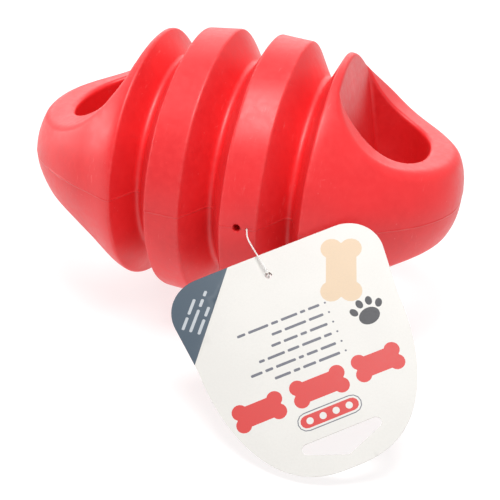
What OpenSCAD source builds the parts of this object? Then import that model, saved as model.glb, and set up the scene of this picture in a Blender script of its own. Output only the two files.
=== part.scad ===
// Hollow rubber chew toy: a ribbed barrel with a pull loop at each end,
// moulded as two halves that meet on the mid plane, with a card tag hung
// from the front of one rib on a short nylon pin.
// Millimetres. X runs along the barrel, Z is up, the toy faces -Y.
// The origin is the middle of the barrel.

/* [Ribs] */
// Height of the rib crests above the mid plane
rib_r = 46.8; // [45:0.2:50]
// How far each half's arc centre lies beyond the mid plane; it makes the barrel wider than it is high
bow = 10; // [7:0.5:11]
// Crest height at the outer edge of each rib
rib_edge_r = 45.9; // [43:0.1:46.5]
// How much is worn off the crests at the very top and bottom, a narrow flat that the toy stands on
rest_flat = 0.3; // [0:0.1:0.8]
// Distance from the middle to the inner edge of a rib crest
rib_in = 7.0; // [6:0.1:8]
// Distance from the middle to the outer edge of a rib crest
rib_out = 18.5; // [17:0.1:20]

/* [Grooves] */
// Root height of the middle groove
mid_groove_r = 34.4; // [33.5:0.1:39]
// Distance from the middle to the root of each side groove
side_groove_x = 26.1; // [24.5:0.1:27]
// Root height of the side grooves
side_groove_r = 32.6; // [31.5:0.1:35]
// Distance from the middle to the crest of each end flange
flange_x = 31.8; // [31:0.1:33]
// Crest height of the end flanges
flange_r = 43.4; // [42:0.1:44]

/* [Loops] */
// Distance from the middle to the tip of each nose
nose_x = 76.8; // [75.6:0.2:80]
// Distance from the middle to the flat wall of a loop hole, on the mid plane
wall_x = 42.8; // [41.5:0.1:44]
// Lean of that wall towards the barrel, in mm of run for each mm of height
wall_lean = 0.2; // [0.15:0.01:0.22]
// Height at which the flat wall meets the scooped top of the loop
scoop_top = 36; // [34:0.5:37]
// Height of the loop's strap at the nose
strap_h = 13.4; // [12:0.2:15]
// Half width of the loop hole
hole_w = 23.2; // [20:0.2:24]
// Distance from the middle to the rounded end of the loop hole
hole_x = 64.0; // [62:0.2:65]

/* [Air space] */
// Height of the air space above the mid plane
air_r = 25; // [20:0.5:26]
// Half length of the air space
air_x = 33; // [28:0.5:33.5]
// Diameter of the vent in the rib's front
vent_d = 2.2; // [1.5:0.1:3]
// Distance of the vent from the middle
vent_x = 12.5; // [11:0.1:13]

/* [Tag] */
// Width of the card along its straight edge
card_w = 71.2; // [66:0.2:72]
// Width of the card where its round end begins
card_w2 = 63.6; // [60:0.2:65]
// Length of the card below the pin hole
card_len = 64.2; // [60:0.2:65]
// Length of the card above the pin hole
card_top = 7.6; // [6:0.1:8]
// Thickness of the card
card_t = 0.6; // [0.4:0.1:0.8]
// Corner radius at the straight edge
card_corner = 12.6; // [8:0.2:14]
// Diameter of the pin hole
pin_hole_d = 2.2; // [1.8:0.1:3]
// How far the pin hole lies to the left of the card's middle
pin_hole_off = 1.7; // [0:0.1:2.5]
// Width of the hang slot
slot_w = 24; // [20:0.5:26]
// Depth of the hang slot
slot_h = 7.2; // [6:0.1:8]

/* [Tag pin] */
// Diameter of the nylon thread
thread_d = 0.6; // [0.4:0.1:0.7]
// Diameter of the cross bar
bar_d = 1.0; // [0.8:0.1:1.2]
// Length of the cross bar
bar_len = 10; // [8:0.5:11]
// Depth of the cross bar under the rib's crest
bar_depth = 9.5; // [8:0.5:11]

/* [Hidden] */

pin_x = 15.9;
tip_y = -55.7;
thread_exit = [pin_x, tip_y, 0];
card_at = [26.5, -65.1, -9.0];
card_tilt = 39.6;
card_turn = 35.1;
dome_p = 1.283;
dome_q = 1.897;
scoop_p = 2.96;
scoop_q = 1.152;
end_p = 2.67;
end_q = 2.23;
big = 70;

// Height of the dome outside a flange at distance x from the middle
function dome_r(x) = let(t = min(1, max(0, (x - flange_x) / (nose_x - flange_x))))
    flange_r * pow(max(0, 1 - pow(t, dome_p)), 1 / dome_q);
// Height of the scooped top of a loop
scoop_x0 = wall_x - wall_lean * scoop_top;
function scoop_z(x) = let(u = min(1, max(0, (x - scoop_x0) / (nose_x - scoop_x0))))
    scoop_top - (scoop_top - strap_h) * pow(1 - pow(1 - u, scoop_p), 1 / scoop_q);
// Half width of the loop hole
function hole_y(x) = let(v = min(1, max(0, (x - wall_x) / (hole_x - wall_x))))
    hole_w * pow(max(0, 1 - pow(v, end_p)), 1 / end_q);

dome_n = 14;
dome_pts = [for (i = [1:dome_n]) let(s = i / dome_n, x = flange_x + (nose_x - flange_x) * (1 - pow(1 - s, 1.7)))
    [dome_r(x), x]];
half_profile = concat(
    [[mid_groove_r, 0], [rib_r, rib_in], [rib_edge_r, rib_out], [side_groove_r, side_groove_x], [flange_r, flange_x]],
    dome_pts);
last = len(half_profile) - 1;
full_profile = concat(
    [for (i = [last:-1:1]) [half_profile[i][0] + bow, -half_profile[i][1]]],
    [for (p = half_profile) [p[0] + bow, p[1]]],
    [[0, nose_x], [0, -nose_x]]);

// Solid half barrel with its grooves, above the mid plane
module half_barrel() {
    intersection() {
        translate([0, 0, -bow]) rotate([0, 90, 0]) rotate_extrude($fn = 128) polygon(full_profile);
        translate([-big * 1.5, -big * 1.2, 0]) cube([big * 3, big * 2.4, rib_r - rest_flat]);
    }
}

// What the scoop takes off above one loop, for the +X end
module scoop() {
    n = 16;
    pts = concat(
        [[wall_x - wall_lean * big, big]],
        [for (i = [0:n]) let(s = i / n, x = scoop_x0 + (nose_x - scoop_x0) * pow(s, 1.6)) [x, scoop_z(x)]],
        [[nose_x + 10, strap_h], [nose_x + 10, big]]);
    translate([0, big, 0]) rotate([90, 0, 0]) linear_extrude(2 * big) polygon(pts);
}

// The loop hole, for the +X end
module loop_hole() {
    n = 12;
    side = [for (i = [0:n]) let(s = sin(90 * i / n), x = wall_x + (hole_x - wall_x) * s) [x, hole_y(x)]];
    plan = concat([[wall_x - 20, hole_w]], side,
        [for (i = [n - 1:-1:0]) [side[i][0], -side[i][1]]], [[wall_x - 20, -hole_w]]);
    intersection() {
        translate([0, 0, -1]) linear_extrude(big) polygon(plan);
        translate([0, big, 0]) rotate([90, 0, 0]) linear_extrude(2 * big)
            polygon([[wall_x + wall_lean, -1], [wall_x - wall_lean * big, big], [nose_x + 10, big], [nose_x + 10, -1]]);
    }
}

// The air space, a spindle along X with the barrel's own bow
air_pts = [[air_r, air_x * 0.25], [air_r * 0.89, air_x * 0.6], [air_r * 0.52, air_x * 0.9], [-1, air_x]];
module air_space() {
    translate([0, 0, -bow]) rotate([0, 90, 0]) rotate_extrude($fn = 96)
        polygon(concat(
            [[0, -air_x]],
            [for (i = [3:-1:0]) [air_pts[i][0] + bow, -air_pts[i][1]]],
            [for (p = air_pts) [p[0] + bow, p[1]]],
            [[0, air_x]]));
}

// Vent, and the pierced seat that grips the tag pin
module front_holes() {
    translate([vent_x, -big, 0]) rotate([-90, 0, 0]) cylinder(d = vent_d, h = big - air_r * 0.5, $fn = 32);
    translate([pin_x, -big, 0]) rotate([-90, 0, 0]) cylinder(d = thread_d + 0.2, h = big + tip_y + bar_depth, $fn = 24);
    translate([pin_x, tip_y + bar_depth, -bar_len / 2 - 0.1]) cylinder(d = bar_d + 0.2, h = bar_len + 0.2, $fn = 24);
}

// One moulded half, above the mid plane
module half_shell() {
    difference() {
        half_barrel();
        for (m = [0, 1]) mirror([m, 0, 0]) { scoop(); loop_hole(); }
        air_space();
        front_holes();
    }
}

module upper_shell() {
    color([0.93, 0.16, 0.16]) half_shell();
}

module lower_shell() {
    color([0.84, 0.13, 0.14]) mirror([0, 0, 1]) half_shell();
}

// Cross bar of the nylon pin, held in the rubber, with its neck up to the rib's crest
module tag_pin_bar() {
    color([0.93, 0.93, 0.9]) {
        translate([pin_x, tip_y + bar_depth, -bar_len / 2]) cylinder(d = bar_d, h = bar_len, $fn = 24);
        translate([pin_x, tip_y + 0.9, 0]) rotate([-90, 0, 0]) cylinder(d = thread_d, h = bar_depth - 0.9, $fn = 24);
    }
}

// A round rod from a to b
module rod(a, b, d) {
    v = b - a;
    translate(a) rotate([0, acos(v[2] / norm(v)), atan2(v[1], v[0])]) cylinder(d = d, h = norm(v), $fn = 24);
}

// Places a child that is drawn flat, with the pin hole at its origin
module on_card() {
    translate(card_at) rotate([card_tilt, 0, 0]) rotate([0, 0, card_turn]) children();
}
card_n = [0, -sin(card_tilt), cos(card_tilt)];
bend = card_at + card_n * 1.2;

// Thread of the nylon pin and the paddle behind the card
module tag_pin_thread() {
    color([0.93, 0.93, 0.9]) {
        rod(thread_exit, bend, thread_d);
        translate(bend) sphere(d = thread_d + 0.14, $fn = 24);
        on_card() translate([0, 0, -card_t / 2 - 0.9]) cylinder(d = thread_d, h = card_t / 2 + 2.1, $fn = 24);
        on_card() translate([0, 0, -card_t / 2 - 1.1]) linear_extrude(0.8) {
            square([3.4, 6], center = true);
            translate([0, 3]) circle(d = 3.4, $fn = 32);
            translate([0, -3]) circle(d = 3.4, $fn = 32);
        }
    }
}

// Outline of the card, with the pin hole at the origin and the straight edge at +Y
card_s = 21.2;
function card_side(y) = let(k = min(1, max(0, (y + card_s) / (card_s + card_top))))
    (card_w2 + (card_w - card_w2) * k) / 2;
function card_end(v) = card_w2 / 2 * pow(max(0, 1 - pow(v, 1.87)), 1 / 2.65);
card_half = concat(
    [for (a = [90:-10:0]) let(y = card_top - card_corner + card_corner * sin(a))
        [card_side(y) - card_corner + card_corner * cos(a), y]],
    [for (i = [0:24]) let(v = 1 - pow(1 - i / 24, 1.8)) [card_end(v), -card_s - (card_len - card_s) * v]]);
card_last = len(card_half) - 1;

// Hang slot: a triangle with round corners, its base across the card
slot_r = 1.6;
slot_y = -53.2;
function slot_arc(c, a0, a1) = [for (i = [0:5]) let(a = a0 + (a1 - a0) * i / 5) c + slot_r * [cos(a), sin(a)]];
slot_lean = atan2(slot_h - 2 * slot_r, slot_w / 2 - slot_r);
slot_pts = concat(
    slot_arc([slot_w / 2 - slot_r, slot_y - slot_r], 90, -90 + slot_lean),
    slot_arc([0, slot_y - slot_h + slot_r], -90 + slot_lean, -90 - slot_lean),
    slot_arc([-slot_w / 2 + slot_r, slot_y - slot_r], -90 - slot_lean, -270));

module hang_tag() {
    color([0.98, 0.97, 0.95]) on_card() linear_extrude(card_t, center = true) difference() {
        translate([pin_hole_off, 0]) polygon(concat(card_half, [for (i = [card_last - 1:-1:0]) [-card_half[i][0], card_half[i][1]]]));
        circle(d = pin_hole_d, $fn = 32);
        translate([pin_hole_off, 0]) polygon(slot_pts);
    }
}

upper_shell();
lower_shell();
tag_pin_bar();
tag_pin_thread();
hang_tag();
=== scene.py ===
import math

import bmesh
import bpy
import numpy as np
from mathutils import Matrix, Vector


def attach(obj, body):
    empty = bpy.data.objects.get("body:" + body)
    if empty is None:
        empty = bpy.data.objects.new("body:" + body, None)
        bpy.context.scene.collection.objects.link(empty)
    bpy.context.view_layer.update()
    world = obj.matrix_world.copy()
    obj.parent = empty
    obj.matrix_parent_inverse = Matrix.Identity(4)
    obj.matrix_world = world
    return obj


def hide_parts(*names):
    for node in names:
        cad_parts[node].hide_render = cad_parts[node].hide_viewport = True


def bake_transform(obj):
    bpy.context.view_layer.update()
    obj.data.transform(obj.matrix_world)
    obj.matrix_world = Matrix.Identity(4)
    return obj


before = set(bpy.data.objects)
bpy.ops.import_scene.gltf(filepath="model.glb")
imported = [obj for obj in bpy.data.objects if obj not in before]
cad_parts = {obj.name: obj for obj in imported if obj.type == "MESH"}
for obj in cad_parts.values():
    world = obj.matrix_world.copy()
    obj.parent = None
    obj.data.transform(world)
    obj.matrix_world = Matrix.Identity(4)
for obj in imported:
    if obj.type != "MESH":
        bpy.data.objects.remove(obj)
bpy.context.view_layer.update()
MM = 0.001

# ---------------------------------------------------------------- shape of the rubber, in millimetres
WIDE_FRONT, WIDE_BACK, LEAN_FRONT, LEAN_BACK, BOW, SOFT = 1.19, 1.10, 0.010, 0.072, 10.0, 8.0
LOWER = 1.028
FLANGE_X, FLANGE_R, NOSE_X = 31.8, 44.0, 76.7
WALL_X, LEAN, SCOOP_TOP, STRAP = 42.8, 0.2, 36.4, 14.3
HOLE_W, HOLE_X = 23.6, 63.4
CREST_A, CREST_B, GROOVE_MID, GROOVE_SIDE = (7.0, 46.8), (18.5, 45.9), (0, 34.4), (26.1, 32.6)
SCOOP_X0 = WALL_X - LEAN * SCOOP_TOP
VENT_X, VENT_R = 12.5, 1.1
PIN_X, PIN_Y = 15.9, -55.4


def section(x, y, z):
    """Height of the profile that passes through a point: oval on the ribs, lens-like on the loops."""
    z = np.abs(z)
    rho = np.maximum(np.hypot(y, z), 1e-9)
    sn, cs = np.abs(y) / rho, z / rho
    wide = np.where(y < 0, WIDE_FRONT, WIDE_BACK)
    lean = np.where(y < 0, LEAN_FRONT, LEAN_BACK)
    oval = rho * np.hypot(sn / wide, cs) / (1 - lean * (2 * sn * cs) ** 2)
    w = np.where(y < 0, 1.04, 1.0) * y
    lens = np.sqrt(w * w + z * z + 2 * BOW * z * (1 - np.exp(-z / SOFT)) + BOW ** 2) - BOW
    t = np.clip((np.abs(x) - 32) / 14, 0, 1)
    return oval + (lens - oval) * t * t * (3 - 2 * t)


def dome_r(x):
    t = np.clip((x - FLANGE_X) / (NOSE_X - FLANGE_X), 0, 1)
    return FLANGE_R * np.clip(1 - t ** 1.283, 0, None) ** (1 / 1.897)


def scoop_z(x):
    u = np.clip((x - SCOOP_X0) / (NOSE_X - SCOOP_X0), 0, 1)
    return SCOOP_TOP - (SCOOP_TOP - STRAP) * (1 - (1 - u) ** 2.96) ** (1 / 1.152)


def hole_y(x):
    v = np.clip((x - WALL_X) / (HOLE_X - WALL_X), 0, 1)
    return HOLE_W * np.clip(1 - v ** 2.67, 0, None) ** (1 / 2.23)


def filleted(points, radii, steps=14):
    """A polyline with each inner corner rounded to its radius."""
    pts = [np.array(p, float) for p in points]
    out = [pts[0]]
    for i in range(1, len(pts) - 1):
        r = radii.get(i, 0)
        p = pts[i]
        if r <= 0:
            out.append(p)
            continue
        u, v = pts[i - 1] - p, pts[i + 1] - p
        lu, lv = np.linalg.norm(u), np.linalg.norm(v)
        u, v = u / lu, v / lv
        half = math.acos(max(-1, min(1, float(u @ v)))) / 2
        t = r / math.tan(half)
        if t > 0.9 * min(lu, lv):
            t = 0.9 * min(lu, lv)
            r = t * math.tan(half)
        c = p + (u + v) / np.linalg.norm(u + v) * (r / math.sin(half))
        a, b = p + u * t - c, p + v * t - c
        sweep = math.pi - 2 * half
        turn = np.sign(a[0] * b[1] - a[1] * b[0])
        for k in range(steps + 1):
            s = turn * sweep * k / steps
            out.append(c + np.array([a[0] * math.cos(s) - a[1] * math.sin(s), a[0] * math.sin(s) + a[1] * math.cos(s)]))
    out.append(pts[-1])
    return np.array(out)


def distance(px, py, line):
    """Distance from points to a polyline."""
    a, b = line[:-1], line[1:]
    d = b - a
    dd = (d ** 2).sum(1)
    out = np.empty(px.size)
    for s in range(0, px.size, 20000):
        x, y = px[s:s + 20000, None], py[s:s + 20000, None]
        ax, ay = x - a[:, 0], y - a[:, 1]
        t = np.clip((ax * d[:, 0] + ay * d[:, 1]) / dd, 0, 1)
        out[s:s + 20000] = np.sqrt(((ax - t * d[:, 0]) ** 2 + (ay - t * d[:, 1]) ** 2).min(1))
    return out


class Table:
    """A function of two coordinates, kept on a fine grid and read with bilinear steps."""

    def __init__(self, x0, x1, y0, y1, h, f):
        self.o, self.h = (x0, y0), h
        xs, ys = np.arange(x0, x1 + h / 2, h), np.arange(y0, y1 + h / 2, h)
        gx, gy = np.meshgrid(xs, ys, indexing="ij")
        self.t = f(gx.ravel(), gy.ravel()).reshape(gx.shape)

    def __call__(self, x, y):
        n, m = self.t.shape
        a = np.clip((x - self.o[0]) / self.h, 0, n - 1.001)
        b = np.clip((y - self.o[1]) / self.h, 0, m - 1.001)
        i, j = a.astype(np.int32), b.astype(np.int32)
        a, b = a - i, b - j
        t = self.t
        return (t[i, j] * (1 - a) + t[i + 1, j] * a) * (1 - b) + (t[i, j + 1] * (1 - a) + t[i + 1, j + 1] * a) * b


# the ribs, grooves and dome as a line of heights along the barrel
s = np.linspace(0, 1, 120)[1:]
dome_x = FLANGE_X + (NOSE_X - FLANGE_X) * (1 - (1 - s) ** 1.9)
profile = filleted(
    [(-CREST_A[0], CREST_A[1]), GROOVE_MID, CREST_A, CREST_B, GROOVE_SIDE, (FLANGE_X, FLANGE_R)]
    + [(x, float(dome_r(x))) for x in dome_x],
    {1: 1.7, 2: 0.8, 3: 0.8, 4: 1.7, 5: 0.9})


def profile_sdf(x, h):
    d = distance(x, h, profile)
    top = np.interp(x, profile[:, 0], profile[:, 1], right=-1)
    return np.where(h < top, -d, d)


u = np.linspace(0, 1, 70)
scoop_line = np.array(
    [(WALL_X - LEAN * 90, 90)]
    + [(x, float(scoop_z(x))) for x in SCOOP_X0 + (NOSE_X - SCOOP_X0) * u ** 1.8]
    + [(NOSE_X + 40, STRAP)])


def scoop_sdf(x, z):
    d = distance(x, z, scoop_line)
    cut = np.where(z >= SCOOP_TOP, x > WALL_X - LEAN * z, (x > SCOOP_X0) & (z > scoop_z(x)))
    return np.where(cut, d, -d)


v = np.sin(np.linspace(0, math.pi / 2, 60))
hole_line = np.array([(0, HOLE_W)] + [(x, float(hole_y(x))) for x in WALL_X + (HOLE_X - WALL_X) * v])


def hole_sdf(x, y):
    d = distance(x, y, hole_line)
    top = np.where(x < WALL_X, HOLE_W, np.where(x < HOLE_X, hole_y(x), -1))
    return np.where(y < top, -d, d)


T_PROFILE = Table(-3, 92, -1, 76, 0.1, profile_sdf)
T_SCOOP = Table(20, 92, -1, 60, 0.15, scoop_sdf)
T_HOLE = Table(20, 92, -1, 60, 0.15, hole_sdf)


def both(a, b, r):
    """Where two shapes meet, with the edge rounded."""
    return np.minimum(-r, np.maximum(a, b)) + np.hypot(np.maximum(a + r, 0), np.maximum(b + r, 0))


def body(x, y, z):
    """Signed distance to the rubber's outside; negative inside."""
    ax, ay, az = np.abs(x), np.abs(y), np.abs(z)
    d = T_PROFILE(ax, section(x, y, z))
    out = np.clip((ax - 34) / 44, 0, 1)
    # the two loops' scooped faces lean a little, one to the front and one to the back
    lean = np.where(x < 0, 0.055, -0.030) * y
    d = both(d, T_SCOOP(ax, az - lean), 0.9 + np.where(x < 0, 1.1, 2.4) * out ** 1.2)
    plane = (WALL_X - LEAN * az - ax) / math.hypot(1, LEAN)
    hole = both(T_HOLE(ax, ay), plane, 1.5)
    d = both(d, -hole, 0.9 + 1.3 * out)
    vent = np.where(y < 0, np.hypot(x - VENT_X, z) - VENT_R, 9.0)
    d = both(d, -vent, 0.35)
    seat = np.where(y < 0, np.hypot(x - PIN_X, z), 9.0)
    d = d + 0.35 * np.exp(-(seat / 0.7) ** 2)
    # slow waviness of a hand-pulled moulding
    d = d + 0.07 * np.sin(0.11 * x + 0.7) * np.sin(0.13 * y + 1.9) + 0.05 * np.sin(0.23 * y - 0.17 * x + az * 0.19)
    return d


def gradient(p, e=0.25):
    g = np.empty_like(p)
    for k in range(3):
        q, w = p.copy(), p.copy()
        q[:, k] += e
        w[:, k] -= e
        g[:, k] = (body(q[:, 0], q[:, 1], q[:, 2]) - body(w[:, 0], w[:, 1], w[:, 2])) / (2 * e)
    return g


def steps(stops):
    """Grid lines from a list of (start, spacing) stops, the last one the end."""
    xs = []
    for (a, h), (b, _) in zip(stops[:-1], stops[1:]):
        n = max(1, round((b - a) / h))
        xs += [a + (b - a) * i / n for i in range(n)]
    return np.array(xs + [stops[-1][0]])


def half_mesh():
    """Vertices, quads and flat-face flags of the upper half, closed by a flat face on the mid plane."""
    half = steps([(0, 0.62), (5.6, 0.42), (8.2, 0.8), (11, 0.36), (14, 0.7), (17.2, 0.42), (20, 0.75), (24.6, 0.5), (27.4, 0.7),
                  (31, 0.4), (36, 0.72), (48, 0.98), (79, 0)])
    X = np.concatenate([-half[:0:-1], half])
    Y = steps([(-57, 0.86), (57, 0)])
    Z = np.concatenate([[-0.3], steps([(0.3, 0.6), (2.1, 0.84), (50.5, 0)])])
    gx, gy, gz = np.meshgrid(X, Y, Z, indexing="ij")
    F = body(gx.ravel(), gy.ravel(), gz.ravel()).reshape(gx.shape)
    B = F < 0
    F = np.maximum(F, -gz)
    inside = F < 0
    n = inside[:-1, :-1, :-1].astype(np.int8)
    nb = B[:-1, :-1, :-1].astype(np.int8)
    for i in (0, 1):
        for j in (0, 1):
            for k in (0, 1):
                if i or j or k:
                    sl = tuple(slice(1, None) if o else slice(None, -1) for o in (i, j, k))
                    n = n + inside[sl]
                    nb = nb + B[sl]
    active = (n > 0) & (n < 8)
    edge = (nb > 0) & (nb < 8)
    idx = np.full(active.shape, -1, np.int64)
    idx[active] = np.arange(active.sum())
    acc, cnt = np.zeros((active.sum(), 3)), np.zeros(active.sum())
    axes = (X, Y, Z)
    quads = []
    for a in range(3):
        lo = tuple(slice(None, -1) if q == a else slice(None) for q in range(3))
        hi = tuple(slice(1, None) if q == a else slice(None) for q in range(3))
        cross = inside[lo] != inside[hi]
        c = np.array(np.nonzero(cross)).T
        f0, f1 = F[lo][cross], F[hi][cross]
        t = f0 / (f0 - f1)
        p = np.stack([axes[q][c[:, q]] for q in range(3)], 1)
        p[:, a] = axes[a][c[:, a]] + t * (axes[a][c[:, a] + 1] - axes[a][c[:, a]])
        b1, b2 = [(a + 1) % 3, (a + 2) % 3]
        cells = []
        for d1, d2 in ((0, 0), (1, 0), (1, 1), (0, 1)):
            cc = c.copy()
            cc[:, b1] -= d1
            cc[:, b2] -= d2
            i = idx[cc[:, 0], cc[:, 1], cc[:, 2]]
            cells.append(i)
            np.add.at(acc, i, p)
            np.add.at(cnt, i, 1)
        q = np.stack(cells, 1)
        up = f0 < 0
        quads.append(np.where(up[:, None], q, q[:, ::-1]))
    verts = acc / cnt[:, None]
    quads = np.concatenate(quads)
    cell = np.array(np.nonzero(active)).T
    low = cell[:, 2] == 0
    rim = low & edge[active]
    verts[low, 2] = 0
    size = np.stack([np.diff(axes[q])[cell[:, q]] for q in range(3)], 1)
    start = verts.copy()
    free = ~low
    for _ in range(4):
        for group, flat in ((free, False), (rim, True)):
            p = verts[group]
            g = gradient(p)
            if flat:
                g[:, 2] = 0
            d = body(p[:, 0], p[:, 1], p[:, 2])
            step = (d / np.maximum((g ** 2).sum(1), 0.25))[:, None] * g
            p = p - np.clip(step, -0.5, 0.5)
            p = np.clip(p, start[group] - 0.9 * size[group], start[group] + 0.9 * size[group])
            verts[group] = p
    return verts, quads, low, rim


def shell(name, node, upper, material, data):
    verts, quads, low, rim = data
    verts = verts.copy()
    g = gradient(verts)
    g[low, 2] = 0
    g /= np.maximum(np.linalg.norm(g, axis=1), 1e-9)[:, None]
    # the moulding seam stands a little proud
    ridge = rim & (np.abs(verts[:, 1]) > 3) & (np.hypot(verts[:, 0] - VENT_X, verts[:, 1] + 52) > 4)
    verts[ridge] += g[ridge] * 0.10
    flat = low[quads].all(1)
    if not upper:
        verts[:, 2] *= -LOWER
        g = g * [1, 1, -1 / LOWER]
        g /= np.linalg.norm(g, axis=1)[:, None]
        quads = quads[:, ::-1]
    mesh = bpy.data.meshes.new(name)
    mesh.vertices.add(len(verts))
    mesh.vertices.foreach_set("co", (verts * MM).astype(np.float32).ravel())
    mesh.loops.add(quads.size)
    mesh.loops.foreach_set("vertex_index", quads.astype(np.int32).ravel())
    mesh.polygons.add(len(quads))
    mesh.polygons.foreach_set("loop_start", np.arange(0, quads.size, 4, dtype=np.int32))
    mesh.polygons.foreach_set("use_smooth", np.ones(len(quads), bool))
    mesh.update(calc_edges=True)
    normals = g[quads.ravel()]
    normals[np.repeat(flat, 4)] = [0, 0, -1 if upper else 1]
    mesh.normals_split_custom_set(normals.tolist())
    ax, h = np.abs(verts[:, 0]), section(*verts.T)
    near = np.min([np.hypot(ax - cx, h - cr) for cx, cr in (CREST_A, CREST_B, (FLANGE_X, FLANGE_R))], axis=0)
    wear = mesh.attributes.new("wear", "FLOAT", "POINT")
    wear.data.foreach_set("value", np.exp(-(near / 0.9) ** 2).astype(np.float32))
    mesh.materials.append(material)
    obj = bpy.data.objects.new(name, mesh)
    bpy.context.scene.collection.objects.link(obj)
    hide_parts(node)
    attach(obj, "toy")
    return obj


# ---------------------------------------------------------------- materials
class Nodes:
    """Short hands for building a node material; lengths in the nodes are millimetres."""

    def __init__(self, name):
        self.m = bpy.data.materials.new(name)
        self.m.use_nodes = True
        self.n, self.l = self.m.node_tree.nodes, self.m.node_tree.links
        self.bsdf = self.n["Principled BSDF"]
        self.coord = self.n.new("ShaderNodeTexCoord").outputs["Object"]
        self.mm = self.vmath("SCALE", self.coord, scale=1000.0)

    def put(self, socket, value):
        if isinstance(value, bpy.types.NodeSocket):
            self.l.new(value, socket)
        else:
            socket.default_value = value

    def vmath(self, op, a, b=None, scale=None):
        n = self.n.new("ShaderNodeVectorMath")
        n.operation = op
        self.put(n.inputs[0], a)
        if b is not None:
            self.put(n.inputs[1], b)
        if scale is not None:
            n.inputs["Scale"].default_value = scale
        return n.outputs[0]

    def math(self, op, a, b=0.0, c=None, clamp=False):
        n = self.n.new("ShaderNodeMath")
        n.operation = op
        n.use_clamp = clamp
        self.put(n.inputs[0], a)
        self.put(n.inputs[1], b)
        if c is not None:
            self.put(n.inputs[2], c)
        return n.outputs[0]

    def noise(self, scale, detail=2.0, rough=0.5, vector=None, distortion=0.0):
        n = self.n.new("ShaderNodeTexNoise")
        self.l.new(vector or self.mm, n.inputs["Vector"])
        n.inputs["Scale"].default_value = scale
        n.inputs["Detail"].default_value = detail
        n.inputs["Roughness"].default_value = rough
        n.inputs["Distortion"].default_value = distortion
        return n.outputs["Fac"]

    def voronoi(self, scale, vector=None):
        n = self.n.new("ShaderNodeTexVoronoi")
        self.l.new(vector or self.mm, n.inputs["Vector"])
        n.inputs["Scale"].default_value = scale
        return n.outputs["Distance"], n.outputs["Color"]

    def span(self, value, lo, hi, to_lo=0.0, to_hi=1.0):
        n = self.n.new("ShaderNodeMapRange")
        n.interpolation_type = "SMOOTHSTEP"
        self.put(n.inputs["Value"], value)
        n.inputs["From Min"].default_value = lo
        n.inputs["From Max"].default_value = hi
        n.inputs["To Min"].default_value = to_lo
        n.inputs["To Max"].default_value = to_hi
        return n.outputs["Result"]

    def mix(self, fac, a, b):
        n = self.n.new("ShaderNodeMix")
        n.data_type = "RGBA"
        self.put(n.inputs[0], fac)
        self.put(n.inputs[6], a)
        self.put(n.inputs[7], b)
        return n.outputs[2]

    def scaled(self, factors, rotation=(0, 0, 0)):
        n = self.n.new("ShaderNodeMapping")
        self.l.new(self.mm, n.inputs["Vector"])
        n.inputs["Scale"].default_value = factors
        n.inputs["Rotation"].default_value = rotation
        return n.outputs["Vector"]

    def attribute(self, name):
        n = self.n.new("ShaderNodeAttribute")
        n.attribute_name = name
        return n.outputs["Fac"]

    def bump(self, height, strength, distance, normal=None):
        n = self.n.new("ShaderNodeBump")
        n.inputs["Strength"].default_value = strength
        n.inputs["Distance"].default_value = distance
        self.put(n.inputs["Height"], height)
        if normal is not None:
            self.l.new(normal, n.inputs["Normal"])
        return n.outputs["Normal"]


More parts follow.
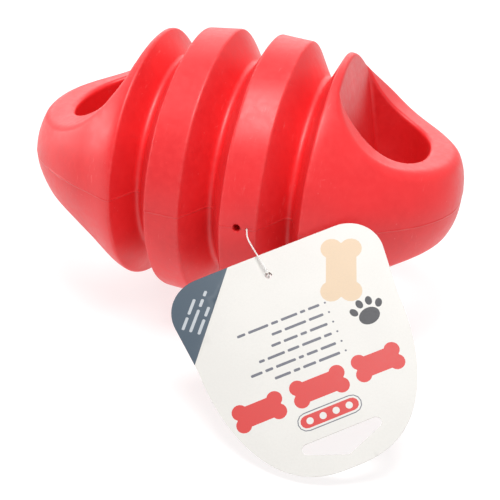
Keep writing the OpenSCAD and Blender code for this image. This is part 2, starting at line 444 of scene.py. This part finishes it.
def rubber():
    k = Nodes("rubber_red")
    b = k.bsdf
    broad = k.noise(0.035, 3.0, 0.55)
    mottle = k.noise(0.45, 4.0, 0.6)
    fine = k.noise(3.2, 3.0, 0.6)
    # dust motes and tiny pits
    near, pick = k.voronoi(0.30)
    some = k.n.new("ShaderNodeSeparateColor")
    k.l.new(pick, some.inputs[0])
    motes = k.math("MULTIPLY", k.span(near, 0.10, 0.05), k.span(some.outputs[0], 0.72, 0.80))
    # rub marks: short streaks running round the barrel, in patches
    streak = k.noise(1.0, 3.0, 0.65, vector=k.scaled((1.9, 0.22, 0.22)))
    streak2 = k.noise(1.0, 2.0, 0.6, vector=k.scaled((0.3, 0.3, 2.4), (0.3, 0.5, 0.2)))
    patch = k.span(k.noise(0.06, 2.0, 0.5), 0.44, 0.66)
    rub = k.math("MULTIPLY", k.math("MAXIMUM", k.span(streak, 0.60, 0.78), k.span(streak2, 0.66, 0.80)), patch)
    wear = k.attribute("wear")
    worn = k.math("MULTIPLY", wear, k.span(k.noise(0.5, 3.0, 0.6), 0.35, 0.75))
    colour = k.mix(k.span(broad, 0.3, 0.7), (0.73, 0.016, 0.020, 1), (0.83, 0.023, 0.027, 1))
    colour = k.mix(k.math("MULTIPLY", k.span(mottle, 0.35, 0.75), 0.35), colour, (0.86, 0.034, 0.036, 1))
    pale = k.math("ADD", k.math("MULTIPLY", motes, 0.16), k.math("ADD", k.math("MULTIPLY", rub, 0.30), k.math("MULTIPLY", worn, 0.07)), clamp=True)
    colour = k.mix(pale, colour, (0.95, 0.30, 0.28, 1))
    # the moulding seam, a fine raised line on the mid plane, rubbed pale in places
    split = k.n.new("ShaderNodeSeparateXYZ")
    k.l.new(k.mm, split.inputs[0])
    seam_at = k.math("ADD", split.outputs[2], k.math("MULTIPLY", k.math("SUBTRACT", k.noise(0.12, 1.0), 0.5), 0.25))
    seam = k.span(k.math("ABSOLUTE", seam_at), 0.42, 0.05)
    colour = k.mix(k.math("MULTIPLY", seam, k.span(k.noise(0.09, 2.0), 0.38, 0.66, 0.0, 0.20)), colour, (0.95, 0.22, 0.21, 1))
    k.put(b.inputs["Base Color"], colour)
    rough = k.math("ADD", k.span(mottle, 0.3, 0.7, 0.36, 0.45), k.math("MULTIPLY", k.math("ADD", rub, worn), 0.12))
    k.put(b.inputs["Roughness"], rough)
    b.inputs["IOR"].default_value = 1.5
    height = k.math("ADD", k.math("MULTIPLY", fine, 0.25), k.math("MULTIPLY", mottle, 0.6))
    height = k.math("ADD", height, k.math("MULTIPLY", motes, 0.5))
    n1 = k.bump(height, 0.22, 0.00022)
    n2 = k.bump(seam, 0.8, 0.00022, n1)
    k.l.new(n2, b.inputs["Normal"])
    return k.m


def card_paper(name, rgb, sheen=0.0):
    k = Nodes(name)
    b = k.bsdf
    fibre = k.noise(1.6, 4.0, 0.65)
    broad = k.noise(0.05, 2.0, 0.5)
    dark = tuple(c * 0.955 for c in rgb) + (1,)
    colour = k.mix(k.span(k.math("ADD", k.math("MULTIPLY", fibre, 0.5), k.math("MULTIPLY", broad, 0.5)), 0.35, 0.62), dark, rgb + (1,))
    k.put(b.inputs["Base Color"], colour)
    k.put(b.inputs["Roughness"], k.span(fibre, 0.3, 0.7, 0.42, 0.52))
    k.l.new(k.bump(fibre, 0.12, 0.00010), b.inputs["Normal"])
    return k.m


def nylon():
    k = Nodes("nylon")
    b = k.bsdf
    cloud = k.noise(1.2, 3.0, 0.5)
    k.put(b.inputs["Base Color"], k.mix(k.span(cloud, 0.3, 0.7), (0.93, 0.91, 0.88, 1), (0.99, 0.985, 0.97, 1)))
    k.put(b.inputs["Roughness"], k.span(cloud, 0.3, 0.7, 0.22, 0.34))
    b.inputs["IOR"].default_value = 1.53
    b.inputs["Transmission Weight"].default_value = 0.35
    k.l.new(k.bump(cloud, 0.1, 0.0001), b.inputs["Normal"])
    return k.m


# ---------------------------------------------------------------- rubber shells
red = rubber()
data = half_mesh()
print("half mesh:", len(data[0]), "vertices,", len(data[1]), "quads,", data[2].sum(), "on the mid plane")
shell("shell_upper", "upper_shell", True, red, data)
shell("shell_lower", "lower_shell", False, red, data)

# ---------------------------------------------------------------- card tag
TILT, TURN, OFF = math.radians(39.6), math.radians(35.1), 1.7
CARD_AT = Vector((26.5, -65.1, -9.0))
CE1 = Vector((math.cos(TURN), math.sin(TURN) * math.cos(TILT), math.sin(TURN) * math.sin(TILT)))
CE2 = Vector((-math.sin(TURN), math.cos(TURN) * math.cos(TILT), math.cos(TURN) * math.sin(TILT)))
CN = CE1.cross(CE2)
CARD_T = 0.5


def card_outline():
    w, w2, length, top, rc, sy = 35.6, 31.8, 64.2, 7.6, 12.6, 21.2

    def side(y):
        return w2 + (w - w2) * min(1, max(0, (y + sy) / (sy + top)))

    right = []
    for i in range(0, 19):
        a = math.radians(90 - 5 * i)
        y = top - rc + rc * math.sin(a)
        right.append((side(y) - rc + rc * math.cos(a), y))
    for i in range(0, 49):
        v = 1 - (1 - i / 48) ** 1.8
        right.append((w2 * max(0, 1 - v ** 1.87) ** (1 / 2.65), -sy - (length - sy) * v))
    loop = right + [(-x, y) for x, y in right[-2::-1]]
    return [(x + OFF, y) for x, y in loop]


def ellipse(cx, cy, rx, ry, n=24, turn=0.0):
    c, s_ = math.cos(turn), math.sin(turn)
    return [(cx + rx * math.cos(t) * c - ry * math.sin(t) * s_, cy + rx * math.cos(t) * s_ + ry * math.sin(t) * c)
            for t in (2 * math.pi * i / n for i in range(n))]


def slot_outline():
    r_, y0, w, h = 1.6, -53.2, 24.0, 7.2
    lean = math.atan2(h - 2 * r_, w / 2 - r_)
    out = []
    for cx, cy, a0, a1 in ((w / 2 - r_, y0 - r_, 90, -90 + math.degrees(lean)),
                           (0, y0 - h + r_, -90 + math.degrees(lean), -90 - math.degrees(lean)),
                           (-w / 2 + r_, y0 - r_, -90 - math.degrees(lean), -270)):
        for i in range(9):
            a = math.radians(a0 + (a1 - a0) * i / 8)
            out.append((cx + OFF + r_ * math.cos(a), cy + r_ * math.sin(a)))
    return out


def bone(cx, cy, length, knob, turn):
    """A plain bone outline: a bar with two knobs at each end."""
    half = length / 2 - knob
    right = []
    for end, a0, a1 in ((-1, -150, 55), (1, -55, 150)):
        for i in range(11):
            a = math.radians(a0 + (a1 - a0) * i / 10)
            right.append((half + knob * math.cos(a), end * knob * 0.86 + knob * math.sin(a)))
    c_, s_ = math.cos(turn), math.sin(turn)
    return [(cx + x * c_ - y * s_, cy + x * s_ + y * c_) for x, y in right + [(-x, -y) for x, y in right]]


def bar(cx, cy, w, h, turn=0.0, round_=0.35):
    r_ = min(round_, h / 2, w / 2)
    pts = []
    for sx, sy_, a0 in ((1, 1, 0), (-1, 1, 90), (-1, -1, 180), (1, -1, 270)):
        for i in range(4):
            a = math.radians(a0 + 30 * i)
            pts.append((sx * (w / 2 - r_) + r_ * math.cos(a), sy_ * (h / 2 - r_) + r_ * math.sin(a)))
    c_, s_ = math.cos(turn), math.sin(turn)
    return [(cx + x * c_ - y * s_, cy + x * s_ + y * c_) for x, y in pts]


WHITE, BLUE, RED, TAN, DARK, GREY, PALE = range(7)


def print_shapes():
    """The card's printed areas, later ones over earlier ones: (outline, ink)."""
    out = [([(-7.4, 12), (-39.0, -29.6), (-50, -10), (-50, 12)], BLUE)]
    d = math.atan2(25.9, 21.2)
    for off, lens in ((3.2, (5.0, 3.2)), (5.9, (7.5, 2.6, 1.8)), (8.4, (4.2, 5.2))):
        along = -6.5
        for w in lens:
            cx = -19.6 - off * math.sin(d) + (along + w / 2) * math.cos(d)
            cy = -6.6 + off * math.cos(d) + (along + w / 2) * math.sin(d)
            out.append((bar(cx, cy, w, 0.95, d), PALE))
            along += w + 1.0
    rows = [(-15.2, (3.6, 1.6, 5.2, 2.2, 6.4, 2.6)), (-18.5, (4.6, 6.8, 3.2)), (-21.8, (5.6, 2.0, 4.4, 3.0)),
            (-25.1, (2.4, 6.0, 3.6, 5.4, 1.8)), (-28.4, (4.8, 3.4, 1.6, 6.2, 2.4, 3.6)), (-31.6, (6.6, 4.0, 2.0, 5.0))]
    for y, words in rows:
        x = 10.6
        out.append((ellipse(x + 1.8, y, 0.34, 0.34, 8), GREY))
        for w in words:
            out.append((bar(x - w / 2, y, w, 0.85, 0.0, 0.3), GREY))
            x -= w + 0.95
    for i, (x, w) in enumerate(((-17.6, 15.5), (1.2, 17.0), (19.6, 15.0))):
        out.append((bone(x, -38.9 + 0.02 * x, w, 2.35, 0.0), RED))
    out.append((bar(1.0, -47.3, 19.5, 5.6, 0.0, 2.8), GREY))
    out.append((bar(1.0, -47.3, 18.9, 5.0, 0.0, 2.5), WHITE))
    out.append((bar(1.0, -47.3, 17.7, 3.8, 0.0, 1.9), RED))
    for i in range(4):
        out.append((ellipse(-5.0 + 4.0 * i, -47.3, 1.05, 1.05, 16), WHITE))
    out.append((bone(21.0, -7.0, 21.0, 3.4, math.radians(68)), TAN))
    out.append((ellipse(23.0, -24.2, 3.3, 2.6, 24, 0.2), DARK))
    for dx, dy, a in ((-3.9, 2.6, 0.5), (-1.4, 4.5, 0.15), (1.6, 4.6, -0.15), (4.1, 2.9, -0.5)):
        out.append((ellipse(23.0 + dx, -24.2 + dy, 1.05, 1.45, 16, a), DARK))
    return out


def inside_loop(loop, px, py):
    x0, y0 = np.array(loop).T
    x1, y1 = np.roll(x0, -1), np.roll(y0, -1)
    px, py = px[:, None], py[:, None]
    hit = ((y0 > py) != (y1 > py)) & (px < (x1 - x0) * (py - y0) / np.where(y1 == y0, 1e-9, y1 - y0) + x0)
    return hit.sum(1) % 2 == 1


def card():
    from mathutils.geometry import delaunay_2d_cdt
    edge, hole, slot = card_outline(), ellipse(0, 0, 1.1, 1.1, 28), slot_outline()
    shapes = print_shapes()
    pts, segs = [], []

    def add(loop):
        s0 = len(pts)
        pts.extend(Vector(p) for p in loop)
        segs.extend((s0 + i, s0 + (i + 1) % len(loop)) for i in range(len(loop)))

    for loop in [edge, hole, slot] + [s_ for s_, _ in shapes]:
        add(loop)
    gx, gy = np.meshgrid(np.arange(-36, 40, 2.6), np.arange(-64, 8, 2.6))
    pts.extend(Vector((x, y)) for x, y in zip(gx.ravel() + 0.13, gy.ravel() + 0.17))
    v2, _, f2, _, _, _ = delaunay_2d_cdt(pts, segs, [], 0, 1e-5)
    V = np.array([tuple(p) for p in v2])
    F = np.array([f for f in f2 if len(f) == 3])
    c = V[F].mean(1)
    keep = inside_loop(edge, c[:, 0], c[:, 1]) & ~inside_loop(hole, c[:, 0], c[:, 1]) & ~inside_loop(slot, c[:, 0], c[:, 1])
    F, c = F[keep], c[keep]
    ink = np.zeros(len(F), int)
    for loop, colour in shapes:
        ink[inside_loop(loop, c[:, 0], c[:, 1])] = colour
    used = np.unique(F)
    new = np.full(len(V), -1)
    new[used] = np.arange(len(used))
    V, F = V[used], new[F]
    a, b_, c_ = V[F[:, 0]], V[F[:, 1]], V[F[:, 2]]
    area2 = (b_ - a)[:, 0] * (c_ - a)[:, 1] - (b_ - a)[:, 1] * (c_ - a)[:, 0]
    F = np.where((area2 < 0)[:, None], F[:, ::-1], F)
    # a slight curl of the free corners
    X, Y = V[:, 0] - OFF, V[:, 1]
    w = -0.55 * (X / 34) ** 2 - 0.25 * ((Y + 26) / 38) ** 2 * np.sign(Y + 26) - 0.25 * X * (Y + 10) / 1400
    w = w - w[np.argmin(np.hypot(V[:, 0], V[:, 1]))]
    n = len(V)

    def place(h):
        P = np.outer(V[:, 0], np.array(CE1)) + np.outer(V[:, 1], np.array(CE2)) + np.outer(w + h, np.array(CN))
        return P + np.array(CARD_AT)

    co = np.concatenate([place(CARD_T / 2), place(-CARD_T / 2)]) * MM
    e = np.concatenate([F[:, [0, 1]], F[:, [1, 2]], F[:, [2, 0]]])
    key = {}
    for i, (p, q) in enumerate(e.tolist()):
        key[(p, q)] = i
    border = [(p, q) for (p, q) in key if (q, p) not in key]
    faces = F.tolist() + [[n + k for k in f[::-1]] for f in F.tolist()] + [[q, p, n + p, n + q] for p, q in border]
    mesh = bpy.data.meshes.new("hang_card")
    mesh.from_pydata(co.tolist(), [], faces)
    inks = [("card_white", (0.69, 0.673, 0.640)), ("card_blue_grey", (0.048, 0.078, 0.110)), ("card_red", (0.60, 0.040, 0.036)),
            ("card_tan", (0.66, 0.50, 0.34)), ("card_dark", (0.035, 0.035, 0.042)), ("card_grey", (0.13, 0.135, 0.165)),
            ("card_pale", (0.46, 0.49, 0.52))]
    for name, rgb in inks:
        mesh.materials.append(card_paper(name, rgb))
    index = np.zeros(len(faces), np.int32)
    index[:len(F)] = ink
    mesh.polygons.foreach_set("material_index", index)
    mesh.polygons.foreach_set("use_smooth", np.ones(len(faces), bool))
    mesh.update(calc_edges=True)
    rim = {frozenset((p, q)) for p, q in border} | {frozenset((n + p, n + q)) for p, q in border}
    sharp = mesh.attributes.new("sharp_edge", "BOOLEAN", "EDGE")
    sharp.data.foreach_set("value", [frozenset(ed.vertices) in rim for ed in mesh.edges])
    obj = bpy.data.objects.new("hang_card", mesh)
    bpy.context.scene.collection.objects.link(obj)
    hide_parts("hang_tag")
    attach(obj, "tag")
    print("card:", len(mesh.vertices), "vertices,", len(mesh.polygons), "faces")
    return obj


card()

# ---------------------------------------------------------------- nylon pin


def smooth_path(points, n):
    """A Catmull-Rom line through points."""
    P = [np.array(p, float) for p in points]
    P = [2 * P[0] - P[1]] + P + [2 * P[-1] - P[-2]]
    out = []
    for i in range(1, len(P) - 2):
        for j in range(n):
            t = j / n
            a, b_, c, d = P[i - 1], P[i], P[i + 1], P[i + 2]
            out.append(0.5 * (2 * b_ + (c - a) * t + (2 * a - 5 * b_ + 4 * c - d) * t * t + (3 * b_ - a - 3 * c + d) * t ** 3))
    out.append(P[-2])
    return np.array(out)


def tube(name, path, radii, material_, sides=16):
    """A round tube along a path, closed at both ends."""
    path = np.array(path)
    t = np.gradient(path, axis=0)
    t /= np.linalg.norm(t, axis=1)[:, None]
    up_ = np.array([0, 0, 1.0]) if abs(t[0][2]) < 0.9 else np.array([1.0, 0, 0])
    rings = []
    for i in range(len(path)):
        up_ = up_ - (up_ @ t[i]) * t[i]
        up_ /= np.linalg.norm(up_)
        side_ = np.cross(t[i], up_)
        a = np.linspace(0, 2 * math.pi, sides, endpoint=False)
        rings.append(path[i] + radii[i] * (np.outer(np.cos(a), up_) + np.outer(np.sin(a), side_)))
    V = np.concatenate(rings + [path[:1], path[-1:]])
    faces = []
    for i in range(len(path) - 1):
        for j in range(sides):
            k_ = (j + 1) % sides
            faces.append((i * sides + j, i * sides + k_, (i + 1) * sides + k_, (i + 1) * sides + j))
    a, b_ = len(path) * sides, len(path) * sides + 1
    for j in range(sides):
        k_ = (j + 1) % sides
        faces.append((a, k_, j))
        faces.append((b_, (len(path) - 1) * sides + j, (len(path) - 1) * sides + k_))
    mesh = bpy.data.meshes.new(name)
    mesh.from_pydata((V * MM).tolist(), [], faces)
    for p in mesh.polygons:
        p.use_smooth = True
    bm = bmesh.new()
    bm.from_mesh(mesh)
    bmesh.ops.recalc_face_normals(bm, faces=bm.faces)
    bm.to_mesh(mesh)
    bm.free()
    mesh.materials.append(material_)
    obj = bpy.data.objects.new(name, mesh)
    bpy.context.scene.collection.objects.link(obj)
    return obj


clear_nylon = nylon()
n_ = np.array(CN)
at = np.array(CARD_AT)
E = np.array([PIN_X, PIN_Y, 0.0])
route = smooth_path([E + [0, 3.4, 0], E + [0, 1.0, 0], E + [0.28, -0.22, -0.20], E + [1.95, -2.75, -2.25],
                     at + n_ * 1.75 + (E - at) * 0.13, at + n_ * 0.75, at - n_ * 0.35, at - n_ * 0.85], 10)
radii = np.interp(np.linspace(0, 1, len(route)), [0, 0.15, 0.25, 0.9, 1], [0.33, 0.27, 0.24, 0.24, 0.30])
thread = tube("pin_thread", route, radii, clear_nylon)


def rounded_block(name, size, place, material_, bevel):
    bm = bmesh.new()
    bmesh.ops.create_cube(bm, size=1)
    bmesh.ops.scale(bm, vec=size, verts=bm.verts)
    bmesh.ops.bevel(bm, geom=bm.edges[:] + bm.verts[:], offset=bevel, segments=4, profile=0.5, affect="EDGES")
    bmesh.ops.transform(bm, matrix=place, verts=bm.verts)
    mesh = bpy.data.meshes.new(name)
    bm.to_mesh(mesh)
    bm.free()
    for p in mesh.polygons:
        p.use_smooth = True
    mesh.materials.append(material_)
    obj = bpy.data.objects.new(name, mesh)
    bpy.context.scene.collection.objects.link(obj)
    return obj


turn = Matrix(((CE1.x, CE2.x, CN.x), (CE1.y, CE2.y, CN.y), (CE1.z, CE2.z, CN.z))).to_4x4()
paddle_at = Matrix.Translation((CARD_AT - CN * (0.3 + 0.3 + 0.38)) * MM) @ turn
paddle = rounded_block("pin_paddle", (3.3 * MM, 9.2 * MM, 0.72 * MM), paddle_at, clear_nylon, 0.33 * MM)
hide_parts("tag_pin_thread")
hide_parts("tag_pin_thread")
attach(paddle, "pin")
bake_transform(thread)
bar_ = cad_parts["tag_pin_bar"]
bar_.data.materials.clear()
bar_.data.materials.append(clear_nylon)

# ---------------------------------------------------------------- floor, light, camera
bpy.ops.mesh.primitive_plane_add(size=6, location=(0, 0, -0.0482))
floor = bpy.context.object
floor.name = "floor"
fm = Nodes("floor")
fm.put(fm.bsdf.inputs["Base Color"], fm.mix(fm.span(fm.noise(0.004, 2.0), 0.3, 0.7), (0.28, 0.28, 0.28, 1), (0.30, 0.30, 0.30, 1)))
fm.bsdf.inputs["Roughness"].default_value = 0.7
fm.bsdf.inputs["Emission Color"].default_value = (1, 1, 1, 1)
fm.bsdf.inputs["Emission Strength"].default_value = 0.73
floor.data.materials.append(fm.m)
bpy.context.scene.view_settings.view_transform = "Standard"

world = bpy.data.worlds.new("studio")
world.use_nodes = True
wn, wl = world.node_tree.nodes, world.node_tree.links
path = wn.new("ShaderNodeLightPath")
pick = wn.new("ShaderNodeMix")
pick.data_type = "RGBA"
wl.new(path.outputs["Is Camera Ray"], pick.inputs[0])
pick.inputs[6].default_value = (0.53, 0.53, 0.53, 1)
pick.inputs[7].default_value = (1, 1, 1, 1)
wl.new(pick.outputs[2], wn["Background"].inputs[0])
wn["Background"].inputs[1].default_value = 1.0
bpy.context.scene.world = world


def area(name, at_, to, size, power, colour=(1, 1, 1)):
    lamp = bpy.data.lights.new(name, "AREA")
    lamp.shape = "RECTANGLE"
    lamp.size, lamp.size_y = size
    lamp.energy = power
    lamp.color = colour
    o = bpy.data.objects.new(name, lamp)
    bpy.context.scene.collection.objects.link(o)
    o.location = at_
    o.visible_camera = False
    o.rotation_mode = "QUATERNION"
    o.rotation_quaternion = (Vector(to) - Vector(at_)).to_track_quat("-Z", "Y")
    return o


area("top_soft", (0.04, -0.16, 0.85), (0, 0, 0), (0.52, 0.42), 6.8)
area("left_soft", (-0.88, 0.05, 0.20), (0, 0, 0), (0.26, 0.26), 1.45)
area("back_soft", (-0.30, 1.15, 0.55), (0, 0, 0), (1.5, 0.9), 6.2)
area("left_fill", (-1.0, 0.60, 0.48), (0, 0, 0), (0.6, 0.4), 1.0)

cam = bpy.data.cameras.new("camera")
cam_o = bpy.data.objects.new("camera", cam)
bpy.context.scene.collection.objects.link(cam_o)
r = Vector((0.95755746, 0.28181258, 0.06054237))
up = Vector((-0.17726449, 0.41012154, 0.89463827))
back = Vector((0.22729059, -0.86739956, 0.4426703))
pos = Vector((2.02169725, -7.40243807, 3.03856362)) * 0.047 - back * 0.0027 - Vector((0.0008, 0, 0))
cam_o.matrix_world = Matrix(((r.x, up.x, back.x, pos.x), (r.y, up.y, back.y, pos.y), (r.z, up.z, back.z, pos.z), (0, 0, 0, 1)))
cam.sensor_width = 36
cam.lens = 76.796
cam.clip_start = 0.01
cam.clip_end = 20
bpy.context.scene.camera = cam_o
